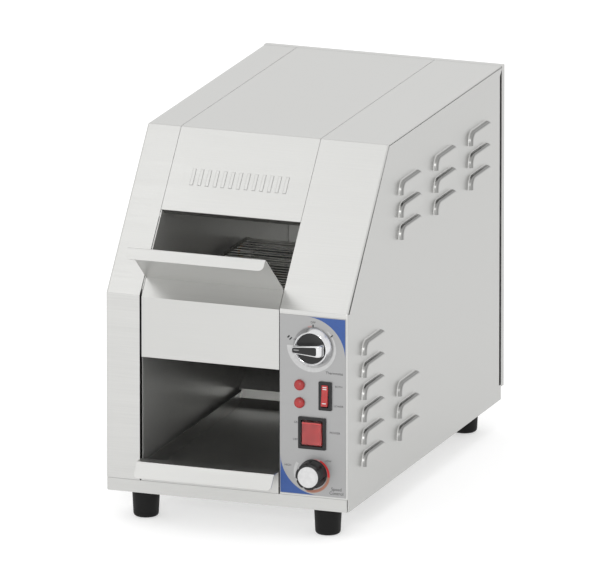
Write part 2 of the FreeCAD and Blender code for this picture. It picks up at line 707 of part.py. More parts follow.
def shaft_bushes():
    bushes = []
    bore = "shaft_radius + running_gap"
    for y in ("belt_front", "belt_rear"):
        for side, face in ((-1, "chamber_left - sheet"), (1, "chamber_right + sheet")):
            profile = [("%d * 2.5" % side, bore), ("%d * 2.5" % side, "11"), ("0", "11"),
                       ("0", "bush_radius"), ("%d * -3" % side, "bush_radius"), ("%d * -3" % side, bore)]
            bushes.append(turned("bush", "X", (face, y, "belt_axis_z"), profile))
    node("shaft_bushes", group("shaft_bushes", bushes))


def motor_drive():
    axis_y, axis_z = "belt_rear", "motor_z"
    wheels = (("driven_chain_wheel", "belt_axis_z", "shaft_radius"), ("motor_chain_wheel", axis_z, "4"))
    for label, z, bore in wheels:
        node(label, toothed_wheel(label, ("drive_plane", axis_y, z), "chain_width", "chain_wheel_radius",
                                  bore, CHAIN_WHEEL_TEETH))
    node("motor_output_shaft", rod("motor_output_shaft", "X", ("drive_plane - 2", axis_y, axis_z), "24", "4"))
    gearbox = box("gearbox", ("85", "belt_rear - 30", "motor_z - 24"), ("24", "60", "62"))
    can = rod("motor_can", "X", ("109", "belt_rear", "motor_z + 8"), "27", "25")
    bore = rod("gearbox_bore", "X", ("84", axis_y, axis_z), "13", "4 + running_gap")
    node("gear_motor", cut("gear_motor", fuse("gear_motor_solid", [gearbox, can]), [bore]))
    plate = box("bracket_plate", ("83", "belt_rear - 36", "motor_z - 30"), ("1.9", "72", "74"))
    foot = box("bracket_foot", ("chamber_right + sheet + 0.1", "belt_rear - 36", "motor_z - 32"),
               ("83 - chamber_right - sheet + 1.8", "72", "2"))
    hole = rod("bracket_hole", "X", ("80", axis_y, axis_z), "8", "7")
    node("motor_bracket", cut("motor_bracket", fuse("bracket_solid", [plate, foot]), [hole]))


def cooling_fan():
    """Axial fan behind the back panel, with a wire guard outside it."""
    behind = "depth - sheet - 20.5"
    frame = box("fan_block", ("fan_x - 30", behind, "fan_z - 30"), ("60", "20", "60"))
    throat = rod("fan_throat", "Y", ("fan_x", "%s - 1" % behind, "fan_z"), "22", "fan_radius + 1")
    axle_seat = rod("fan_seat", "Y", ("fan_x", "%s + 0.5" % behind, "fan_z"), "2", "9")
    spokes = [box("fan_spoke", ("fan_x - 29", "%s + 0.5" % behind, "fan_z - 1.5"), ("58", "2", "3")),
              box("fan_spoke", ("fan_x - 1.5", "%s + 0.5" % behind, "fan_z - 29"), ("3", "2", "58"))]
    pin = rod("fan_pin", "Y", ("fan_x", "%s + 0.5" % behind, "fan_z"), "12", "1.5")
    node("fan_frame", fuse("fan_frame", [cut("fan_shell", frame, [throat]), axle_seat, pin] + spokes))
    body = new_body("fan_rotor", "fan_x", "%s + 4" % behind, "fan_z")
    hub = circle(circle(sketch(body, "XZ"), "0", "0", "11"), "0", "0", "1.5 + running_gap")
    pad(body, hub, "12", back=True)
    blade_shape = [("9", "-1"), ("fan_radius - 1", "-5"), ("fan_radius - 1", "-3.4"), ("9", "0.6")]
    blade = pad(body, outline(sketch(body, "XZ"), blade_shape), "11", back=True)
    around(body, blade, "Y", 7)
    node("fan_rotor", body)
    rings = [tube("guard_ring", "Y", ("fan_x", "depth + 0.8", "fan_z"), "1.6", str(r + 0.8), str(r - 0.8))
             for r in (9, 18, 27)]
    bars = [box("guard_bar", ("fan_x - 30", "depth", "fan_z - 0.8"), ("60", "1.6", "1.6")),
            box("guard_bar", ("fan_x - 0.8", "depth", "fan_z - 30"), ("1.6", "1.6", "60"))]
    node("fan_guard", fuse("fan_guard", rings + bars))


# ---------------------------------------------------------------- controls

def control_label():
    body = new_body("control_label")
    face = sketch(body, "XZ")
    rectangle(face, "(label_left + label_right) / 2", "(label_bottom + label_top) / 2",
              "label_right - label_left", "label_top - label_bottom")
    pad(body, control_openings(face), "label_thickness")
    node("control_label", body)


def thermostat():
    """Rotary thermostat and its knob; distances along the axis are positive to the rear."""
    centre = ("thermostat_x", "0", "thermostat_z")
    bore = "control_shaft_radius + running_gap"
    case = [("sheet + 0.2", bore), ("28", bore), ("28", "17"), ("4", "17"), ("4", "12"), ("sheet + 0.2", "12")]
    node("thermostat_body", turned("thermostat_body", "Y", centre, case))
    node("thermostat_shaft", rod("thermostat_shaft", "Y", ("thermostat_x", "-13", "thermostat_z"), "38",
                                 "control_shaft_radius"))
    skirt = [("-1.1", "14"), ("-1.1", "knob_radius"), ("-3", "knob_radius - 0.2"),
             ("-8.9", "disc_radius + 1.8"), ("-9.7", "disc_radius + 1.2"), ("-9.7", "disc_radius + 0.5"),
             ("-7.9", "disc_radius + 0.5"), ("-7.9", "14")]
    node("thermostat_knob_skirt", turned("thermostat_knob_skirt", "Y", centre, skirt))
    disc = [("-2", "control_shaft_radius"), ("-8.8", "control_shaft_radius"), ("-8.8", "disc_radius"),
            ("-7.9", "disc_radius"), ("-7.9", "13.9"), ("-2", "13.9")]
    node("thermostat_knob_disc", turned("thermostat_knob_disc", "Y", centre, disc))
    bar = box("handle_bar", ("thermostat_x - 18.5", "-19.5", "thermostat_z - 6.3"), ("34", "9.5", "12.6"))
    foot = rod("handle_foot", "Y", ("thermostat_x", "-10.4", "thermostat_z"), "1.6", "9")
    socket = box("handle_socket", ("thermostat_x - 17.9", "-20.5", "thermostat_z - 4.7"),
                 ("28.4", "3.2", "9.4"))
    hole = rod("handle_hole", "Y", ("thermostat_x", "-13.2", "thermostat_z"), "5", "control_shaft_radius")
    node("thermostat_knob_handle", cut("thermostat_knob_handle", fuse("handle_solid", [bar, foot]),
                                       [socket, hole]))
    insert = box("thermostat_knob_insert", ("thermostat_x - 17.9", "-19.7", "thermostat_z - 4.7"),
                 ("28.4", "2.4", "9.4"))
    node("thermostat_knob_insert", insert)


def speed_control():
    centre = ("speed_x", "0", "speed_z")
    bore = "control_shaft_radius + running_gap"
    case = [("sheet + 0.2", bore), ("14", bore), ("14", "8.5"), ("sheet + 0.2", "8.5")]
    node("speed_potentiometer", turned("speed_potentiometer", "Y", centre, case))
    node("speed_shaft", rod("speed_shaft", "Y", ("speed_x", "-14", "speed_z"), "26", "control_shaft_radius"))
    body = new_body("speed_knob", *centre)
    pad(body, circle(sketch(body, "XZ", "1"), "0", "0", "speed_knob_radius"), "16")
    flute = circle(sketch(body, "XZ", "17"), "speed_knob_radius + 1.4", "0", "3")
    around(body, pocket(body, flute, "13"), "Y", 7)
    pad(body, circle(sketch(body, "XZ", "1"), "0", "0", "speed_knob_radius + 0.8"), "2.8")
    pocket(body, circle(sketch(body, "XZ", "1"), "0", "0", "control_shaft_radius"), "13", back=True)
    node("speed_knob", body)
    cap = [("-17", "0"), ("-18.2", "0"), ("-18.2", "11"), ("-17.6", "11.75"), ("-17", "11.75")]
    node("speed_knob_cap", turned("speed_knob_cap", "Y", centre, cap))


def lamp(label, height):
    lens = [("18", "0"), ("18", "4.6"), ("-0.5", "4.6"), ("-0.5", "lamp_radius"), ("-2", "lamp_radius - 0.1"),
            ("-4", "lamp_radius - 1.3"), ("-5.2", "lamp_radius - 3.2"), ("-5.6", "0")]
    node(label, turned(label, "Y", ("lamp_x", "0", height), lens))


def rocker_switch(name, x, z, across, up):
    """A housing with its bezel, and a rocker with a shallow valley across its face."""
    rim, half = 3.4, "(%s) / 2" % up
    bezel = box(name + "_bezel", ("%s - (%s) / 2" % (x, across), "-2.6", "%s - %s" % (z, half)),
                (across, "2.1", up))
    barrel = box(name + "_barrel", ("%s - (%s) / 2 + 1.8" % (x, across), "-0.6", "%s - %s + 2.3" % (z, half)),
                 ("%s - 3.6" % across, "24", "%s - 4.6" % up))
    inside = box(name + "_well",
                 ("%s - (%s) / 2 + %s" % (x, across, rim), "-3", "%s - %s + %s" % (z, half, rim)),
                 ("%s - 2 * %s" % (across, rim), "18", "%s - 2 * %s" % (up, rim)))
    label = name + "_switch_housing"
    node(label, cut(label, fuse(name + "_shell", [bezel, barrel]), [inside]))
    body = new_body(name + "_rocker", x, "4", z)
    body.Placement.Rotation = Rotation(Vector(1, 0, 0), -5)
    end = "%s - %s - 1.1" % (half, rim)
    side_view = [("-6.2", "0"), ("-9.2", end), ("2", end), ("6", "2"), ("6", "-2"), ("2", "-(%s)" % end),
                 ("-9.2", "-(%s)" % end)]
    broad = "%s - 2 * %s - 0.8" % (across, rim)
    pad(body, outline(sketch(body, "YZ", "-(%s) / 2" % broad), side_view), broad)
    node(name + "_rocker", body)


# ---------------------------------------------------------------- electrics and fittings

def electrics():
    wall = "chamber_right + sheet"
    board = box("board_plate", ("%s + 8" % wall, "150", "215"), ("1.6", "90", "70"))
    chips = [box("board_part", ("%s + 9" % wall, str(y), str(z)), (str(tall), str(long), str(high)))
             for y, z, tall, long, high in ((160, 225, 14, 20, 16), (188, 222, 9, 12, 22),
                                            (208, 255, 18, 16, 18), (170, 260, 11, 24, 12))]
    node("speed_control_board", fuse("speed_control_board", [board] + chips))
    posts = [rod("board_post", "X", (wall, str(y), str(z)), "8", "3") for y in (156, 234) for z in (221, 279)]
    node("board_standoffs", group("board_standoffs", posts))
    block = box("terminal_base", ("85", "wall_rear - 60", "sheet"), ("44", "20", "16"))
    wells = [box("terminal_well", ("%g" % (88 + 8 * i), "wall_rear - 58", "12"), ("6", "16", "10"))
             for i in range(5)]
    node("terminal_block", cut("terminal_block", block, wells))


def cable_gland():
    profile = [("depth - 12", "gland_bore"), ("depth + 16", "gland_bore"), ("depth + 16", "6.5"),
               ("depth + 13", "8.6"), ("depth + 5.5", "9.4"), ("depth + 5.5", "11.5"), ("depth", "11.5"),
               ("depth", "8"), ("depth - 12", "8")]
    node("cable_gland", turned("cable_gland", "Y", ("gland_x", "0", "gland_z"), profile))


def foot_places():
    return [("%d * foot_pitch_x / 2" % side, "foot_front + %d * foot_pitch_y" % row)
            for row in (0, 1) for side in (-1, 1)]


def feet():
    names = ("front_left", "front_right", "rear_left", "rear_right")
    screws = []
    for name, (x, y) in zip(names, foot_places()):
        profile = [("0", "foot_screw_radius"), ("0", "foot_top_radius"),
                   ("2.5 - foot_height", "foot_base_radius"), ("0.7 - foot_height", "foot_base_radius - 0.8"),
                   ("-foot_height", "foot_base_radius - 2.6"), ("-foot_height", "0"), ("-20", "0"),
                   ("-20", "foot_screw_radius")]
        node("foot_" + name, turned("foot_" + name, "Z", (x, y, "0"), profile))
        shank = rod("foot_screw_shank", "Z", (x, y, "-19.5"), "22", "foot_screw_radius")
        head = rod("foot_screw_head", "Z", (x, y, "sheet"), "4", "5.5")
        screws.append(fuse("foot_screw", [shank, head]))
    node("foot_screws", group("foot_screws", screws))


def back_screw_places():
    return [("%d * (width / 2 - 9)" % side, str(z)) for side in (-1, 1) for z in (30, 200, 366)]


def casing_screws():
    screws = []
    for x, z in back_screw_places():
        shank = rod("casing_screw_shank", "Y", (x, "depth - sheet - 8", z), "sheet + 8.5", "2")
        head = rod("casing_screw_head", "Y", (x, "depth", z), "2.2", "3.8")
        screws.append(fuse("casing_screw", [shank, head]))
    node("casing_screws", group("casing_screws", screws))


# ---------------------------------------------------------------- assembly

def build():
    base_pan()
    casing("left_casing", -1, "left_column")
    casing("right_casing", 1, "right_column")
    centre_cover()
    back_panel()
    inner_wall("left_inner_wall", "chamber_left - sheet", "chamber_left - 0.2")
    inner_wall("right_inner_wall", "chamber_right", "chamber_right - 8.8")
    chamber_sheets()
    feed_panel()
    crumb_tray()
    heaters()
    conveyor_belt()
    shafts()
    shaft_bushes()
    motor_drive()
    drive_chain()
    cooling_fan()
    control_label()
    thermostat()
    speed_control()
    lamp("upper_lamp", "lamp_upper_z")
    lamp("lower_lamp", "lamp_lower_z")
    rocker_switch("power", "power_x", "power_z", "power_width", "power_height")
    rocker_switch("selector", "selector_x", "selector_z", "selector_width", "selector_height")
    electrics()
    cable_gland()
    feet()
    casing_screws()
    doc.recompute()


def check():
    """Stop on anything that failed to build."""
    for item in doc.Objects:
        if "Invalid" in item.State or "Error" in item.State:
            raise RuntimeError("%s is %s" % (item.Name, item.State))
    for item in nodes:
        if item.Shape.isNull() or not item.Shape.isValid() or not item.Shape.Solids:
            raise RuntimeError(item.Label + " has no valid shape")


def write():
    os.makedirs("parts", exist_ok=True)
    for item in nodes:
        item.Shape.exportStep("parts/%s.step" % item.Label)
    box_all = Part.makeCompound([item.Shape for item in nodes]).BoundBox
    print(len(nodes), "sub-parts", box_all)


build()
check()
write()
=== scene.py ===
import json
import math

import bmesh
import bpy
from mathutils import Matrix, Vector


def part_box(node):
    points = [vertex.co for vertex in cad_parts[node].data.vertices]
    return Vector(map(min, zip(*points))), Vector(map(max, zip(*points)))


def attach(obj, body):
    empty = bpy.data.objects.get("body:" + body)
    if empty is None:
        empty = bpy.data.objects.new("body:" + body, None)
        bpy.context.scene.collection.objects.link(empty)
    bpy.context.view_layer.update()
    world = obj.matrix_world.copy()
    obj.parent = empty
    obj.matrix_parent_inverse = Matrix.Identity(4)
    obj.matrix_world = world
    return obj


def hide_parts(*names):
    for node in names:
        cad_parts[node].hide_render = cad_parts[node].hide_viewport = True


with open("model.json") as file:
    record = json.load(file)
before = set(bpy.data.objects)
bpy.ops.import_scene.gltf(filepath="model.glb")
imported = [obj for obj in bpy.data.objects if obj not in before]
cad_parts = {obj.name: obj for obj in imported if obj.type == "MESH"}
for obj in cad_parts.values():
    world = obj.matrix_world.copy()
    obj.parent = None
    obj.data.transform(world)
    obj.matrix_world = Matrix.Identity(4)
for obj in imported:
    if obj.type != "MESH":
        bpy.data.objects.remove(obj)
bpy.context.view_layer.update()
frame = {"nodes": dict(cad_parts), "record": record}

# A small conveyor toaster.  Lengths are in metres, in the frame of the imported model:
# +X to the right seen from the front, +Y to the back, +Z up from the ground.

MM = 0.001
NODES = frame["nodes"]
FRONT_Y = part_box("left_casing")[0].y
PANEL_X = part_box("back_panel")[1].x


def centre(node):
    low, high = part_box(node)
    return (low + high) / 2


# ---------------------------------------------------------------- camera

AZIMUTH = math.radians(20)
ELEVATION = math.radians(15)
LENS = 1200.0
SENSOR = 36.0
IMAGE_WIDTH = 600
PIXELS_PER_METRE = 911.4
AIM = Vector((-1.4 * MM, -0.5 * MM, 214 * MM))


def make_camera():
    """A very long lens far away, which draws almost as a parallel view does."""
    data = bpy.data.cameras.new("camera")
    data.lens = LENS
    data.sensor_width = SENSOR
    distance = IMAGE_WIDTH * LENS / (SENSOR * PIXELS_PER_METRE)
    back = Vector((math.sin(AZIMUTH) * math.cos(ELEVATION), -math.cos(AZIMUTH) * math.cos(ELEVATION),
                   math.sin(ELEVATION)))
    data.clip_start = distance / 10
    data.clip_end = distance * 4
    camera = bpy.data.objects.new("camera", data)
    camera.location = AIM + back * distance
    camera.rotation_mode = "QUATERNION"
    camera.rotation_quaternion = (-back).to_track_quat("-Z", "Y")
    bpy.context.scene.collection.objects.link(camera)
    bpy.context.scene.camera = camera


# ---------------------------------------------------------------- materials

# painted shade: how much darker the sheet's colour is made on faces that look along X, standing in for the
# side lying in less light
SIDE_PAINTED_SHADE = 0.13


class Surface:
    """A Principled material with short ways of adding procedural detail to it."""

    def __init__(self, name, base, metallic=0.0, roughness=0.5, **sockets):
        self.material = bpy.data.materials.new(name)
        self.material.use_nodes = True
        self.tree = self.material.node_tree
        self.shader = self.tree.nodes["Principled BSDF"]
        self.shader.inputs["Base Color"].default_value = (*base, 1)
        self.shader.inputs["Metallic"].default_value = metallic
        self.shader.inputs["Roughness"].default_value = roughness
        for socket, amount in sockets.items():
            self.shader.inputs[socket.replace("_", " ")].default_value = amount
        self.base = base
        where = self.tree.nodes.new("ShaderNodeTexCoord")
        self.place = where.outputs["Object"]
        self.facing = where.outputs["Normal"]

    def node(self, kind, **settings):
        item = self.tree.nodes.new(kind)
        for name, setting in settings.items():
            setattr(item, name, setting)
        return item

    def join(self, output, socket):
        self.tree.links.new(output, socket)

    def noise(self, scale, detail=3.0, roughness=0.55):
        """Noise with its own number of cells per metre along each axis."""
        mapping = self.node("ShaderNodeMapping")
        mapping.inputs["Scale"].default_value = scale
        self.join(self.place, mapping.inputs["Vector"])
        item = self.node("ShaderNodeTexNoise")
        item.inputs["Scale"].default_value = 1.0
        item.inputs["Detail"].default_value = detail
        item.inputs["Roughness"].default_value = roughness
        self.join(mapping.outputs["Vector"], item.inputs["Vector"])
        return item.outputs["Fac"]

    def math(self, operation, first, second):
        item = self.node("ShaderNodeMath", operation=operation)
        for socket, source in zip(item.inputs, (first, second)):
            if isinstance(source, (int, float)):
                socket.default_value = source
            else:
                self.join(source, socket)
        return item.outputs[0]

    def remap(self, source, low, high, new_low, new_high):
        item = self.node("ShaderNodeMapRange", clamp=True)
        limits = {"From Min": low, "From Max": high, "To Min": new_low, "To Max": new_high}
        for name, number in limits.items():
            item.inputs[name].default_value = number
        self.join(source, item.inputs["Value"])
        return item.outputs["Result"]

    def blend(self, share, first, second):
        """Mix two colours or two colour outputs."""
        item = self.node("ShaderNodeMix", data_type="RGBA")
        self.join(share, item.inputs["Factor"])
        for socket, source in zip((item.inputs[6], item.inputs[7]), (first, second)):
            if isinstance(source, tuple):
                socket.default_value = (*source, 1)
            else:
                self.join(source, socket)
        return item.outputs[2]

    def colour(self, source):
        self.join(source, self.shader.inputs["Base Color"])

    def shade(self, source, darker, lighter):
        """Vary the base colour between two strengths as source goes from low to high."""
        spread = self.remap(source, 0.3, 0.7, 0.0, 1.0)
        dark = tuple(c * darker for c in self.base)
        light = tuple(min(1.0, c * lighter) for c in self.base)
        mixed = self.blend(spread, dark, light)
        self.colour(mixed)
        return mixed

    def rough(self, source, low, high):
        self.join(self.remap(source, 0.3, 0.7, low, high), self.shader.inputs["Roughness"])

    def bump(self, height, strength, distance):
        item = self.node("ShaderNodeBump")
        item.inputs["Strength"].default_value = strength
        item.inputs["Distance"].default_value = distance
        self.join(height, item.inputs["Height"])
        self.join(item.outputs["Normal"], self.shader.inputs["Normal"])

    def across(self, source):
        """How far a vector reaches along X, either way."""
        split = self.node("ShaderNodeSeparateXYZ")
        self.join(source, split.inputs["Vector"])
        return self.math("ABSOLUTE", split.outputs["X"], 0.0)

    def side_share(self):
        """1 on faces that look along X, 0 elsewhere."""
        return self.math("GREATER_THAN", self.across(self.facing), 0.7)

    def painted_shade_share(self):
        """How much painted shade darkens the sheet: a little on the faces that look along X,
        and more on the louvres' flanks, which stand out of the panel and turn away from X."""
        # painted shade on the louvres: up to half darker where the sheet stands out of the panel and its
        # faces turn away from X
        proud = self.remap(self.across(self.place), PANEL_X + 0.8 * MM, PANEL_X + 3 * MM, 0.0, 1.0)
        bent = self.remap(self.across(self.facing), 0.8, 0.99, 0.5, 0.0)
        # painted shade on the faces that look along X
        upright = self.math("MULTIPLY", self.side_share(), SIDE_PAINTED_SHADE)
        return self.math("ADD", upright, self.math("MULTIPLY", proud, bent))

    def darken(self, colour, factor):
        """Multiply a colour by a number."""
        item = self.node("ShaderNodeMix", data_type="RGBA", blend_type="MULTIPLY")
        item.inputs["Factor"].default_value = 1.0
        self.join(colour, item.inputs[6])
        self.join(factor, item.inputs[7])
        return item.outputs[2]


def brushed(name, base, roughness, contrast=0.05, fine=1100.0, long=12.0, metallic=1.0,
            painted_shade=False):
    """Brushed sheet: streaks along X, and upright ones on the faces that look sideways.
    If asked, painted shade also darkens the faces that look sideways and the louvres' flanks."""
    item = Surface(name, base, metallic=metallic, roughness=roughness)
    level = item.noise((long, fine, fine), detail=4)
    upright = item.noise((fine, fine, long), detail=4)
    streaks = item.blend(item.side_share(), level, upright)
    smudge = item.noise((9, 9, 9), detail=2)
    both = item.math("ADD", item.math("MULTIPLY", streaks, 0.8), item.math("MULTIPLY", smudge, 0.2))
    grain = item.shade(both, 1 - contrast, 1 + contrast)
    if painted_shade:
        # painted shade multiplied into the colour: darker sides and louvre flanks
        item.colour(item.darken(grain, item.math("SUBTRACT", 1.0, item.painted_shade_share())))
    item.rough(both, roughness - 0.07, roughness + 0.09)
    item.bump(streaks, 0.12, 0.02 * MM)
    return item.material


def drawn_steel(name, base, roughness, cells=500.0):
    """Turned or drawn steel: soft blotches and a fine even tooth."""
    item = Surface(name, base, metallic=1.0, roughness=roughness)
    blotch = item.noise((60, 60, 60), detail=3)
    tooth = item.noise((cells, cells, cells), detail=2)
    item.shade(blotch, 0.82, 1.1)
    item.rough(tooth, roughness - 0.08, roughness + 0.12)
    item.bump(tooth, 0.1, 0.02 * MM)
    return item.material


def chrome(name):
    item = Surface(name, (0.7, 0.7, 0.71), metallic=1.0, roughness=0.14)
    haze = item.noise((40, 40, 40), detail=2)
    item.rough(haze, 0.12, 0.17)
    item.shade(haze, 0.97, 1.03)
    return item.material


def moulded(name, base, roughness, cells=1400.0, depth=0.01, **sockets):
    """Moulded plastic or rubber with a fine texture and slight wear."""
    item = Surface(name, base, roughness=roughness, **sockets)
    tooth = item.noise((cells, cells, cells), detail=2)
    wear = item.noise((70, 70, 70), detail=4)
    item.shade(wear, 0.82, 1.25)
    item.rough(wear, roughness - 0.06, roughness + 0.08)
    item.bump(tooth, 0.25, depth * MM)
    return item.material


def ink(name, base, roughness=0.45):
    """Printed ink, slightly uneven."""
    item = Surface(name, base, roughness=roughness)
    patch = item.noise((300, 300, 300), detail=2)
    item.shade(patch, 0.94, 1.06)
    item.rough(patch, roughness - 0.05, roughness + 0.05)
    return item.material


def board_green(name):
    item = Surface(name, (0.02, 0.16, 0.06), roughness=0.35)
    weave = item.noise((900, 900, 900), detail=1)
    item.shade(weave, 0.8, 1.2)
    item.bump(weave, 0.1, 0.01 * MM)
    return item.material


def blanket(name):
    item = Surface(name, (0.75, 0.73, 0.68), roughness=0.95)
    fibres = item.noise((120, 700, 700), detail=5)
    item.shade(fibres, 0.8, 1.1)
    item.bump(fibres, 0.6, 0.6 * MM)
    return item.material


def heat_tinted(name):
    """Heater sheath, browned where it gets hottest."""
    item = Surface(name, (0.2, 0.17, 0.15), metallic=1.0, roughness=0.5)
    tint = item.noise((40, 200, 200), detail=3)
    item.colour(item.blend(item.remap(tint, 0.35, 0.65, 0, 1), (0.12, 0.1, 0.1), (0.34, 0.24, 0.17)))
    item.rough(tint, 0.4, 0.6)
    return item.material


def make_materials():
    steel = (0.565, 0.565, 0.552)
    return {
        # the casing sheet, with painted shade on its sides and louvres
        "brushed_stainless": brushed("brushed_stainless", steel, 0.36, painted_shade=True),
        "panel_stainless": brushed("panel_stainless", (0.55, 0.55, 0.537), 0.36, contrast=0.03,
                                   fine=1500.0),
        "inner_stainless": brushed("inner_stainless", (0.6, 0.6, 0.585), 0.33, contrast=0.03,
                                   fine=2600.0, long=260.0, metallic=0.75),
        "heat_darkened": drawn_steel("heat_darkened", (0.07, 0.067, 0.064), 0.5),
        "insulation": blanket("insulation_blanket"),
        "heater_sheath": heat_tinted("heater_sheath"),
        "ceramic": moulded("ceramic", (0.75, 0.72, 0.64), 0.55),
        "belt_wire": drawn_steel("belt_wire", (0.62, 0.61, 0.58), 0.4, cells=2000.0),
        "shaft_steel": drawn_steel("shaft_steel", (0.5, 0.5, 0.5), 0.3),
        "chain_steel": drawn_steel("chain_steel", (0.25, 0.24, 0.22), 0.35),
        "bush_bronze": drawn_steel("bush_bronze", (0.6, 0.38, 0.18), 0.4),
        "motor_paint": moulded("motor_paint", (0.03, 0.03, 0.032), 0.4),
        "bracket_zinc": drawn_steel("bracket_zinc", (0.55, 0.56, 0.55), 0.4),
        "black_plastic": moulded("black_plastic", (0.008, 0.008, 0.0085), 0.42,
                                 Specular_IOR_Level=0.4),
        "white_plastic": ink("white_plastic", (0.54, 0.54, 0.54), 0.4),
        "thermostat_case": moulded("thermostat_case", (0.55, 0.5, 0.42), 0.55),
        "control_shafts": drawn_steel("control_shafts", (0.5, 0.5, 0.5), 0.3),
        "chrome": chrome("chrome"),
        "red_plastic": moulded("red_plastic", (0.36, 0.02, 0.02), 0.25, depth=0.003,
                               Coat_Weight=0.3),
        "label": brushed("label_aluminium", (0.36, 0.36, 0.36), 0.42, contrast=0.03, fine=1300.0),
        "circuit_board": board_green("circuit_board"),
        "rubber": moulded("rubber", (0.005, 0.005, 0.005), 0.6, cells=1800.0, depth=0.02,
                          Specular_IOR_Level=0.2),
        "screw_steel": drawn_steel("screw_steel", (0.6, 0.6, 0.59), 0.3),
    }


def make_inks():
    colours = {
        "white_ink": (0.55, 0.55, 0.55),
        "dark_ink": (0.008, 0.008, 0.01),
        "blue_ink": (0.022, 0.07, 0.25),
        "pale_ink": (0.45, 0.45, 0.45),
        "dim_ink": (0.2, 0.2, 0.2),
        "red_ink": (0.5, 0.02, 0.02),
        "pale_red_ink": (0.45, 0.22, 0.22),
        "brown_ink": (0.34, 0.15, 0.1),
        "warm_ink": (0.4, 0.25, 0.24),
    }
    return {name: ink(name, colour) for name, colour in colours.items()}


def make_lenses():
    return {
        "red_lens": moulded("red_lens", (0.3, 0.014, 0.014), 0.3, depth=0.002, Coat_Weight=0.2),
        "power_lens": moulded("power_lens", (0.5, 0.05, 0.05), 0.3, depth=0.002, Coat_Weight=0.2),
        "clear_cover": moulded("clear_cover", (0.97, 0.88, 0.88), 0.12, depth=0.0001,
                               Transmission_Weight=1.0, IOR=1.35),
    }


def dress_nodes(materials):
    """Give each carried-over node the material of its slot."""
    for entry in frame["record"]["subparts"]:
        mesh = NODES[entry["node"]].data
        mesh.materials.clear()
        mesh.materials.append(materials[entry["material_slot"]])
    # the sheets beside the elements are darkened by the heat
    for node in ("upper_reflector", "lower_reflector"):
        NODES[node].data.materials[0] = materials["heat_darkened"]


# ---------------------------------------------------------------- mesh helpers

def add_piece(name, mesh, material, body, replaces=(), angle=35):
    """Link a mesh as a piece of the object, smooth except at its sharp edges."""
    mesh.materials.append(material)
    mesh.shade_smooth()
    mesh.set_sharp_from_angle(angle=math.radians(angle))
    item = bpy.data.objects.new(name, mesh)
    bpy.context.scene.collection.objects.link(item)
    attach(item, body)
    if replaces:
        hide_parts(*replaces)
    return item


def bevel(item, width, segments=3, angle=30):
    """Round the sharp edges of a piece."""
    modifier = item.modifiers.new("bevel", "BEVEL")
    modifier.width = width
    modifier.segments = segments
    modifier.limit_method = "ANGLE"
    modifier.angle_limit = math.radians(angle)
    modifier.harden_normals = True
    return item


def mesh_from(name, build):
    """A mesh built in a bmesh by a function, with its normals facing out."""
    work = bmesh.new()
    build(work)
    bmesh.ops.remove_doubles(work, verts=work.verts, dist=1e-7)
    bmesh.ops.recalc_face_normals(work, faces=work.faces)
    mesh = bpy.data.meshes.new(name)
    work.to_mesh(mesh)
    work.free()
    return mesh


def skin(work, rings):
    """Close a stack of equal rings into a solid."""
    for ring, following in zip(rings, rings[1:]):
        for i in range(len(ring)):
            j = (i + 1) % len(ring)
            work.faces.new((ring[i], ring[j], following[j], following[i]))
    work.faces.new(rings[0])
    work.faces.new(rings[-1][::-1])


def lathe(name, origin, axis, profile, steps=96):
    """A solid of revolution; profile holds (along, radius) pairs in millimetres, along +axis."""
    turn = Vector((0, 0, 1)).rotation_difference(Vector(axis)).to_matrix()

    def build(work):
        rings = []
        for along, radius in profile:
            ring = []
            for i in range(steps):
                angle = 2 * math.pi * i / steps
                spot = Vector((radius * math.cos(angle), radius * math.sin(angle), along)) * MM
                ring.append(work.verts.new(turn @ spot + origin))
            rings.append(ring)
        for ring, following in zip(rings, rings[1:] + rings[:1]):
            for i in range(steps):
                j = (i + 1) % steps
                corners = [ring[i], ring[j], following[j], following[i]]
                if len({tuple(round(c, 9) for c in v.co) for v in corners}) > 2:
                    work.faces.new(corners)
    return mesh_from(name, build)


def plate(name, loops, y, depth):
    """A flat plate facing the front at y, from closed loops of (x, z) points in metres;
    the second and later loops are holes."""
    def build(work):
        edges = []
        for loop in loops:
            verts = [work.verts.new((x, y, z)) for x, z in loop]
            edges += [work.edges.new((a, b)) for a, b in zip(verts, verts[1:] + verts[:1])]
        bmesh.ops.triangle_fill(work, use_beauty=True, edges=edges)
        bmesh.ops.dissolve_limit(work, angle_limit=0.01, verts=work.verts, edges=work.edges)
        grown = bmesh.ops.extrude_face_region(work, geom=list(work.faces))
        moved = [g for g in grown["geom"] if isinstance(g, bmesh.types.BMVert)]
        bmesh.ops.translate(work, verts=moved, vec=(0, depth, 0))
    return mesh_from(name, build)


def prism(name, outline, x, width):
    """A solid of constant section: (y, z) points in metres, from x over width."""
    def build(work):
        near = [work.verts.new((x, y, z)) for y, z in outline]
        far = [work.verts.new((x + width, y, z)) for y, z in outline]
        work.faces.new(near)
        work.faces.new(far[::-1])
        for i in range(len(outline)):
            j = (i + 1) % len(outline)
            work.faces.new((near[i], near[j], far[j], far[i]))
    return mesh_from(name, build)


def arc(x, z, radius, start, end, steps=24):
    """Points along an arc, angles in degrees from +X towards +Z."""
    angles = [math.radians(start + (end - start) * i / steps) for i in range(steps + 1)]
    return [(x + radius * math.cos(a), z + radius * math.sin(a)) for a in angles]


def rounded_rectangle(x, z, width, height, radius, steps=6):
    """Corner points of a rectangle centred on (x, z)."""
    points = []
    for sign_x, sign_z, start in ((1, 1, 0), (-1, 1, 90), (-1, -1, 180), (1, -1, 270)):
        points += arc(x + sign_x * (width / 2 - radius), z + sign_z * (height / 2 - radius), radius,
                      start, start + 90, steps)
    return points


